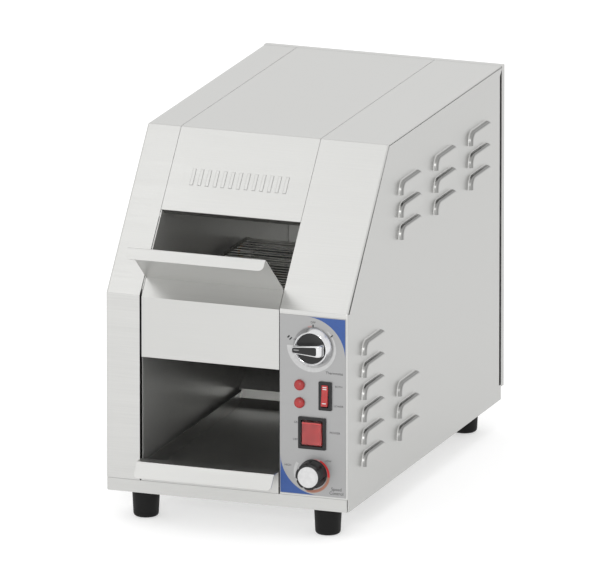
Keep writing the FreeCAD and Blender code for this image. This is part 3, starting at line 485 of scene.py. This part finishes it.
def soft_polygon(corners, radius, steps=6):
    """A closed outline through corners, each rounded off over a distance radius."""
    loop = []
    points = [Vector(corner) for corner in corners]
    for i, corner in enumerate(points):
        start = corner + (points[i - 1] - corner).normalized() * radius
        end = corner + (points[(i + 1) % len(points)] - corner).normalized() * radius
        for step in range(steps + 1):
            t = step / steps
            loop.append(tuple(start * (1 - t) ** 2 + corner * 2 * t * (1 - t) + end * t ** 2))
    return loop


def turned_about(mesh, point, axis, degrees):
    """Turn a mesh about an axis through a point."""
    spin = Matrix.Rotation(math.radians(degrees), 4, Vector(axis))
    mesh.transform(Matrix.Translation(point) @ spin @ Matrix.Translation(-point))
    return mesh


# ---------------------------------------------------------------- conveyor belt

BELT_STRANDS = 64


def conveyor_belt(materials):
    """Cross strands whose ends hook round the next strand, all the way round the rollers."""
    low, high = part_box("conveyor_belt")
    wire = 0.95 * MM
    radius = (high.z - low.z) / 2 - wire
    start_y, end_y = low.y + radius + wire, high.y - radius - wire
    middle_z = (low.z + high.z) / 2
    straight = end_y - start_y
    length = 2 * straight + 2 * math.pi * radius
    pitch = length / BELT_STRANDS

    def on_loop(along, lift):
        along %= length
        reach = radius + lift
        if along < straight:
            return start_y + along, middle_z + reach
        along -= straight
        if along < math.pi * radius:
            angle = math.pi / 2 - along / radius
            return end_y + reach * math.cos(angle), middle_z + reach * math.sin(angle)
        along -= math.pi * radius
        if along < straight:
            return end_y - along, middle_z - reach
        angle = -math.pi / 2 - (along - straight) / radius
        return start_y + reach * math.cos(angle), middle_z + reach * math.sin(angle)

    # (distance in from the edge in mm, share of a pitch ahead, lift in wire radii)
    hook = [(3.6, 0.72, -0.4), (4.2, 0.98, 0.6), (3.2, 1.16, 1.3), (1.7, 1.16, 1.2), (0.7, 0.96, 0.9),
            (0.7, 0.45, 0.4), (0.9, 0.18, 0.1), (1.9, 0.0, 0.0), (5.0, 0.0, 0.0)]
    curve = bpy.data.curves.new("belt_wires", "CURVE")
    curve.dimensions = "3D"
    curve.bevel_depth = wire
    curve.bevel_resolution = 2
    for strand in range(BELT_STRANDS):
        route = [(low.x + inset * MM + wire * 0.2, share, lift) for inset, share, lift in hook]
        route += [(low.x + high.x - x, share, lift) for x, share, lift in reversed(route)]
        spline = curve.splines.new("POLY")
        spline.points.add(len(route) - 1)
        for point, (x, share, lift) in zip(spline.points, route):
            y, z = on_loop((strand + share) * pitch, lift * wire - 0.3 * wire)
            point.co = (x, y, z, 1)
    shaper = bpy.data.objects.new("belt_wires", curve)
    bpy.context.scene.collection.objects.link(shaper)
    mesh = bpy.data.meshes.new_from_object(shaper)
    bpy.data.objects.remove(shaper)
    mesh.name = "belt_wires"
    mesh.materials.clear()
    add_piece("belt_wires", mesh, materials["belt_wire"], "housing",
              ["conveyor_belt"], angle=60)


# ---------------------------------------------------------------- controls

# thermostat knob, in mm: (distance in front of the front plane, radius)
SKIRT = [(1.1, 14), (1.1, 21.8), (1.5, 22.2), (2.6, 22.2), (3.1, 21.9), (8.9, 18.9), (9.5, 18.6),
         (9.75, 18.2), (9.75, 17.8), (9.5, 17.6), (7.9, 17.6), (7.9, 14)]
DISC = [(2, 3.1), (8.8, 3.1), (8.8, 16.6), (8.6, 17.0), (7.9, 17.1), (7.9, 13.8), (2, 13.8)]
# its bar, in mm from back to front: (y, left end, right end, height at the left, at the right)
BAR = [(-9.9, -17.4, 16.4, 8.2, 14.6), (-14, -18.1, 15.8, 8.0, 14.4), (-17.4, -18.3, 14.8, 7.6, 14.0),
       (-18.8, -18.2, 14.0, 7.2, 13.4), (-19.5, -17.6, 12.7, 6.4, 12.2)]
BAR_CORNER = 3.2
INSERT = (-17.4, 10.4, 5.8, 9.8)
INSERT_CORNER = 2.4
INSERT_FACE = -19.75


def wedge(hub, left, right, left_height, right_height, radius):
    """Outline of the bar: narrow at its pointing end and broad at the other."""
    corners = [(hub.x + x * MM, hub.z + z * MM) for x, z in
               ((left, left_height / 2), (left, -left_height / 2),
                (right, -right_height / 2), (right, right_height / 2))]
    return soft_polygon(corners, radius * MM)


def thermostat_knob(materials):
    """A chrome skirt and bar round a black disc, with a black insert in the bar."""
    hub = centre("thermostat_knob_skirt")
    hub.y = FRONT_Y
    front = Vector((0, -1, 0))
    body = "thermostat_control"
    add_piece("knob_skirt", lathe("knob_skirt", hub, front, SKIRT, 128), materials["chrome"], body,
              ["thermostat_knob_skirt"])
    add_piece("knob_disc", lathe("knob_disc", hub, front, DISC, 96), materials["black_plastic"], body,
              ["thermostat_knob_disc"])

    def bar(work):
        rings = []
        for y, *shape in BAR:
            outline = wedge(hub, *shape, BAR_CORNER)
            rings.append([work.verts.new((x, FRONT_Y + y * MM, z)) for x, z in outline])
        skin(work, rings)
    add_piece("knob_handle", mesh_from("knob_handle", bar), materials["chrome"], body,
              ["thermostat_knob_handle"], angle=50)
    face = FRONT_Y + INSERT_FACE * MM
    insert = plate("knob_insert", [wedge(hub, *INSERT, INSERT_CORNER)], face, 1.0 * MM)
    bevel(add_piece("knob_insert", insert, materials["black_plastic"], body,
                    ["thermostat_knob_insert"]), 0.2 * MM)
    spot = rounded_rectangle(hub.x - 12.6 * MM, hub.z + 0.3 * MM, 6 * MM, 1.3 * MM, 0.4 * MM)
    mark = plate("knob_mark", [spot], face - 0.07 * MM, 0.2 * MM)
    add_piece("knob_mark", mark, materials["dim_ink"], body)


SPEED_LOBES = 7
SPEED_NOTCH = math.radians(195.6)
SPEED_STEPS = 252


def speed_knob(materials):
    """A lobed knob with a flange and a white cap."""
    hub = centre("speed_knob")
    low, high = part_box("speed_knob")
    # (y in metres, radius and depth of the notches in mm), from the flange to the face
    levels = ((high.y, 16.0, 0.0), (high.y - 2.4 * MM, 16.0, 0.0), (high.y - 2.8 * MM, 15.7, 0.0),
              (high.y - 3.0 * MM, 15.4, 1.8), (low.y + 1.4 * MM, 15.0, 1.8),
              (low.y + 0.4 * MM, 14.6, 1.7), (low.y, 13.9, 1.5))

    def build(work):
        rings = []
        for y, radius, depth in levels:
            ring = []
            for i in range(SPEED_STEPS):
                angle = 2 * math.pi * i / SPEED_STEPS
                hollow = max(0.0, math.cos(SPEED_LOBES * (angle - SPEED_NOTCH))) ** 4
                reach = (radius - depth * hollow) * MM
                ring.append(work.verts.new((hub.x + reach * math.cos(angle), y,
                                            hub.z + reach * math.sin(angle))))
            rings.append(ring)
        skin(work, rings)
    add_piece("speed_knob_body", mesh_from("speed_knob_body", build), materials["black_plastic"],
              "speed_control", ["speed_knob"], angle=40)
    hub.y = low.y
    cap = [(-0.3, 0), (-0.3, 11.7), (0.7, 11.7), (1.05, 11.5), (1.2, 11.1), (1.2, 0)]
    add_piece("speed_cap", lathe("speed_cap", hub, (0, -1, 0), cap), materials["white_plastic"],
              "speed_control", ["speed_knob_cap"])


LAMP_RADIUS = 6.05
LAMP_RISE = 4.2
LAMP_RIM = 1.4


def lamp(node, materials):
    """A domed red lens."""
    hub = centre(node)
    hub.y = FRONT_Y
    dome = [(0.5, LAMP_RADIUS), (LAMP_RIM, LAMP_RADIUS)]
    for degrees in range(10, 90, 10):
        angle = math.radians(degrees)
        dome.append((LAMP_RIM + LAMP_RISE * math.sin(angle), LAMP_RADIUS * math.cos(angle)))
    profile = [(-18, 0), (-18, 4.5), (0.5, 4.5)] + dome + [(LAMP_RIM + LAMP_RISE, 0)]
    add_piece(node + "_lens", lathe(node + "_lens", hub, (0, -1, 0), profile, 64),
              materials["red_lens"], "housing", [node])


# rockers: depth of the valley and of the face in front of the pivot in mm, and how far
# a rocker at rest is tipped over in degrees, its lower end standing out
VALLEY, FACE, LEAN = 0.8, 8.2, -7
# under the clear cover: face of the cover, face of the core in mm, and the core's own tilt
COVER_FACE, CORE_FACE, CORE_LEAN = 8.6, 6.9, LEAN + 8
BEZEL_RIM = 3.4 * MM
# marks printed on the selector, in mm: up from the middle, height, width
SELECTOR_MARKS = [(9.4, 1.0, 4.4), (7.2, 1.0, 4.4), (-8.4, 1.0, 4.4)]
BARREL_DEPTH = 15 * MM


def add_button(name, pivot, half, across, face, lean, body, material, replaces=()):
    """A rocker with a shallow valley across its face, tipped over by lean degrees."""
    outline = [(-(face + VALLEY * (i / 8) ** 2) * MM, half * i / 8) for i in range(8, -9, -1)]
    outline += [(3 * MM, -half), (6 * MM, -2 * MM), (6 * MM, 2 * MM), (3 * MM, half)]
    section = [(pivot.y + y, pivot.z + z) for y, z in outline]
    mesh = turned_about(prism(name, section, pivot.x - across / 2, across), pivot, (1, 0, 0), lean)
    bevel(add_piece(name, mesh, material, body, replaces, angle=25), 0.45 * MM)


def switch_housing(name, middle, low, high, materials):
    """A bezel, the barrel behind it and the barrel's back."""
    wide, tall = high.x - low.x, high.z - low.z
    well = rounded_rectangle(middle.x, middle.z, wide - 2 * BEZEL_RIM, tall - 2 * BEZEL_RIM, 0.5 * MM)
    plastic = materials["black_plastic"]
    bezel_back = FRONT_Y - 0.5 * MM
    face = rounded_rectangle(middle.x, middle.z, wide, tall, 0.9 * MM)
    ring = plate(name + "_bezel", [face, well], low.y, bezel_back - low.y)
    bevel(add_piece(name + "_bezel", ring, plastic, "housing"), 0.35 * MM)
    sleeve = rounded_rectangle(middle.x, middle.z, wide - 3.6 * MM, tall - 4.6 * MM, 0.9 * MM)
    barrel = plate(name + "_barrel", [sleeve, well], bezel_back, BARREL_DEPTH)
    add_piece(name + "_barrel", barrel, plastic, "housing", [name + "_switch_housing"])
    back_y = bezel_back + BARREL_DEPTH
    back = plate(name + "_back", [sleeve], back_y, high.y - back_y)
    add_piece(name + "_back", back, plastic, "housing")


def rocker(name, body, marks, materials, lens, cover=0.0):
    """A switch and its rocker with printed marks, under a clear cover where it has one."""
    low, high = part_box(name + "_switch_housing")
    middle = (low + high) / 2
    switch_housing(name, middle, low, high, materials)
    pivot = Vector((middle.x, FRONT_Y + 4 * MM, middle.z))
    half = (high.z - low.z) / 2 - BEZEL_RIM - 0.9 * MM
    across = high.x - low.x - 2 * BEZEL_RIM - 0.8 * MM
    if cover:
        add_button(name + "_cover", pivot, half, across, COVER_FACE, LEAN, body,
                   materials["clear_cover"])
        add_button(name + "_button", pivot, half - cover, across - 2 * cover, CORE_FACE, CORE_LEAN,
                   body, lens, [name + "_rocker"])
    else:
        add_button(name + "_button", pivot, half, across, FACE, LEAN, body, lens, [name + "_rocker"])
    for number, (z, height, width) in enumerate(marks):
        share = z * MM / half
        surface = pivot.y - (FACE + VALLEY * share ** 2) * MM - 0.12 * MM
        label = "%s_mark_%d" % (name, number)
        outline = rounded_rectangle(middle.x, pivot.z + z * MM, width * MM, height * MM, 0.2 * MM)
        spot = turned_about(plate(label, [outline], surface, 0.3 * MM), pivot, (1, 0, 0), LEAN)
        add_piece(label, spot, materials["white_ink"], body)


# ---------------------------------------------------------------- printed label

PRINT_LIFT = 0.06 * MM


def printed(name, loops, material):
    """Ink on the control label, drawn as a very thin plate."""
    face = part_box("control_label")[0].y - PRINT_LIFT
    add_piece(name, plate(name, loops, face, PRINT_LIFT * 0.9), material, "housing")


def printed_words(name, words, x, z, height, material):
    """Generic lettering such as OFF or LOW, centred on (x, z)."""
    curve = bpy.data.curves.new(name, "FONT")
    curve.body = words
    curve.size = height * 1.4
    curve.align_x = "CENTER"
    curve.align_y = "CENTER"
    curve.extrude = PRINT_LIFT * 0.4
    curve.resolution_u = 4
    shaper = bpy.data.objects.new(name, curve)
    bpy.context.scene.collection.objects.link(shaper)
    mesh = bpy.data.meshes.new_from_object(shaper)
    bpy.data.objects.remove(shaper)
    mesh.materials.clear()
    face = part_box("control_label")[0].y - PRINT_LIFT * 0.5
    mesh.transform(Matrix.Translation((x, face, z)) @ Matrix.Rotation(math.pi / 2, 4, "X"))
    add_piece(name, mesh, material, "housing")


def ring_sector(x, z, inner, outer, start, end, steps=48):
    """A band between two radii; inner and outer may be (start, end) pairs for a tapering band."""
    def edge(radii, order):
        first, last = radii if isinstance(radii, tuple) else (radii, radii)
        points = []
        for i in order:
            angle = math.radians(start + (end - start) * i / steps)
            radius = first + (last - first) * i / steps
            points.append((x + radius * math.cos(angle), z + radius * math.sin(angle)))
        return points
    return edge(outer, range(steps + 1)) + edge(inner, range(steps, -1, -1))


# radius in metres of the curve that bounds each blue corner of the label
UPPER_SWING, LOWER_SWING = 44.5 * MM, 43.5 * MM
# marks round the dial, in mm from its centre: across, up, width, height, lean in degrees
TICKS = ((0, 24.0, 1.4, 2.6, 0), (-21.6, 6.4, 1.2, 2.4, 20), (-28.3, 9.4, 1.6, 3.4, -45),
         (-25.8, 7.4, 1.4, 4.0, -45), (21.4, 14.0, 1.4, 3.6, -45))
# words: name, text, the node they are placed from, then across, up and height in mm
WORDS = (("off", "OFF", "thermostat_knob_skirt", 0, 27.6, 2.4),
         ("dial", "Thermostat", "thermostat_knob_skirt", 24.6, -27.6, 3.0),
         ("both", "BOTH", "selector_switch_housing", 15.2, 11.5, 2.3),
         ("lower", "LOWER", "selector_switch_housing", 15.2, -10.5, 2.3),
         ("power", "POWER", "power_switch_housing", 26.1, 2.3, 2.5),
         ("switch_on", "ON", "power_switch_housing", -18.6, 10.8, 2.4),
         ("switch_off", "OFF", "power_switch_housing", -19.6, -8.6, 2.4),
         ("high", "HIGH", "speed_knob", -29.2, 7.2, 2.3),
         ("low", "LOW", "speed_knob", 17.3, 15.5, 2.3),
         ("speed", "Speed", "speed_knob", 26.9, -15.6, 3.6),
         ("control", "Control", "speed_knob", 26.9, -20.2, 3.6))
# spiral band round the speed knob: inner and outer radii in mm, from one angle to another
SPEED_BANDS = (("faint", (15.9, 16.0), (16.2, 17.6), 88, 62, "pale_red_ink"),
               ("red", (16.0, 16.6), (17.6, 19.4), 62, -9, "red_ink"),
               ("brown", (16.6, 18.6), (19.4, 22.2), -9, -112, "brown_ink"),
               ("pale", (18.8, 19.3), (22.4, 22.6), -165, -211, "pale_ink"))


def corner_fields(materials):
    low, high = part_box("control_label")
    edge = 0.7 * MM
    left, right, bottom, top = low.x + edge, high.x - edge, low.z + edge, high.z - edge
    upper = arc(right - UPPER_SWING, top - UPPER_SWING, UPPER_SWING, 90, 0, 48)
    printed("corner_field_top", [upper + [(right, top)]], materials["blue_ink"])
    lower = arc(left + LOWER_SWING, bottom + LOWER_SWING, LOWER_SWING, 270, 180, 48)
    printed("corner_field_bottom", [lower + [(left, bottom)]], materials["blue_ink"])


def dial_marks(materials):
    dial = centre("thermostat_knob_skirt")
    band = ring_sector(dial.x, dial.z, (22.4 * MM, 24.6 * MM), (30.2 * MM, 25.4 * MM), 180, 408)
    printed("dial_band", [band], materials["pale_ink"])
    warm = ring_sector(dial.x, dial.z, 22.4 * MM, 23.8 * MM, 94, 105)
    printed("dial_warm_band", [warm], materials["warm_ink"])
    for number, (x, z, width, height, lean) in enumerate(TICKS):
        mark = rounded_rectangle(0, 0, width * MM, height * MM, 0.3 * MM, 2)
        swing = Matrix.Rotation(math.radians(lean), 2)
        spots = [swing @ Vector(point) for point in mark]
        outline = [(dial.x + x * MM + u, dial.z + z * MM + v) for u, v in spots]
        printed("dial_tick_%d" % number, [outline], materials["dark_ink"])


def control_label(materials):
    corner_fields(materials)
    dial_marks(materials)
    for name, text, node, x, z, height in WORDS:
        hub = centre(node)
        printed_words("word_" + name, text, hub.x + x * MM, hub.z + z * MM, height * MM,
                      materials["dark_ink"])
    speed = centre("speed_knob")
    for name, inner, outer, start, end, colour in SPEED_BANDS:
        radii = [tuple(radius * MM for radius in pair) for pair in (inner, outer)]
        printed("speed_band_" + name, [ring_sector(speed.x, speed.z, *radii, start, end)],
                materials[colour])


# ---------------------------------------------------------------- feet and fittings

def feet(materials):
    for node in sorted(n for n in NODES if n.startswith("foot_") and n != "foot_screws"):
        low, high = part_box(node)
        hub = (low + high) / 2
        hub.z = low.z
        tall = (high.z - low.z) / MM
        profile = [(0, 0), (0, 10.6), (0.35, 11.9), (1.1, 13.0), (2.2, 13.7), (3.4, 14.0), (tall - 1.2, 15.4),
                   (tall - 0.4, 15.4), (tall, 15.0), (tall, 3.1), (tall - 20, 3.1), (tall - 20, 0)]
        add_piece(node + "_rubber", lathe(node + "_rubber", hub, (0, 0, 1), profile, 72),
                  materials["rubber"], "housing", [node])


# ---------------------------------------------------------------- stage

def area_light(name, place, target, size, power):
    data = bpy.data.lights.new(name, "AREA")
    data.shape = "DISK"
    data.size = size
    data.energy = power
    item = bpy.data.objects.new(name, data)
    item.location = place
    item.rotation_mode = "QUATERNION"
    item.rotation_quaternion = (Vector(target) - Vector(place)).to_track_quat("-Z", "Y")
    bpy.context.scene.collection.objects.link(item)


FLOOR_REACH = 30.0
WORLD_STRENGTH = 1.06
# name, place, target, diameter in metres, power in watts; the second lights the inside
LIGHTS = (("key", (-1.3, -1.7, 3.0), (0, 0, 0.2), 1.0, 3.0),
          ("front", (0.34, -2.43, 0.95), (0, 0, 0.1), 0.3, 12))


def make_stage():
    """A pale floor that glows a little, an even white world and two soft lights."""
    surface = Surface("studio_floor", (0.6, 0.6, 0.6), roughness=0.9, Emission_Strength=0.48)
    surface.shader.inputs["Emission Color"].default_value = (1, 1, 1, 1)
    patch = surface.noise((3, 3, 3), detail=2)
    surface.shade(patch, 0.995, 1.005)
    corners = [(-FLOOR_REACH, -FLOOR_REACH, 0), (FLOOR_REACH, -FLOOR_REACH, 0),
               (FLOOR_REACH, FLOOR_REACH, 0), (-FLOOR_REACH, FLOOR_REACH, 0)]
    mesh = bpy.data.meshes.new("studio_floor")
    mesh.from_pydata(corners, [], [(0, 1, 2, 3)])
    mesh.materials.append(surface.material)
    floor = bpy.data.objects.new("studio_floor", mesh)
    floor.location.z = -0.2 * MM
    bpy.context.scene.collection.objects.link(floor)
    world = bpy.data.worlds.new("studio")
    world.use_nodes = True
    background = world.node_tree.nodes["Background"]
    background.inputs["Color"].default_value = (1.0, 1.0, 1.0, 1)
    background.inputs["Strength"].default_value = WORLD_STRENGTH
    bpy.context.scene.world = world
    for light in LIGHTS:
        area_light(*light)
    bpy.context.scene.view_settings.view_transform = "Standard"


def main():
    make_camera()
    materials = make_materials()
    materials.update(make_inks())
    materials.update(make_lenses())
    dress_nodes(materials)
    conveyor_belt(materials)
    thermostat_knob(materials)
    speed_knob(materials)
    lamp("upper_lamp", materials)
    lamp("lower_lamp", materials)
    rocker("power", "power_button", [], materials, materials["power_lens"], cover=1.1 * MM)
    rocker("selector", "selector_button", SELECTOR_MARKS, materials, materials["red_plastic"])
    control_label(materials)
    feet(materials)
    make_stage()


main()
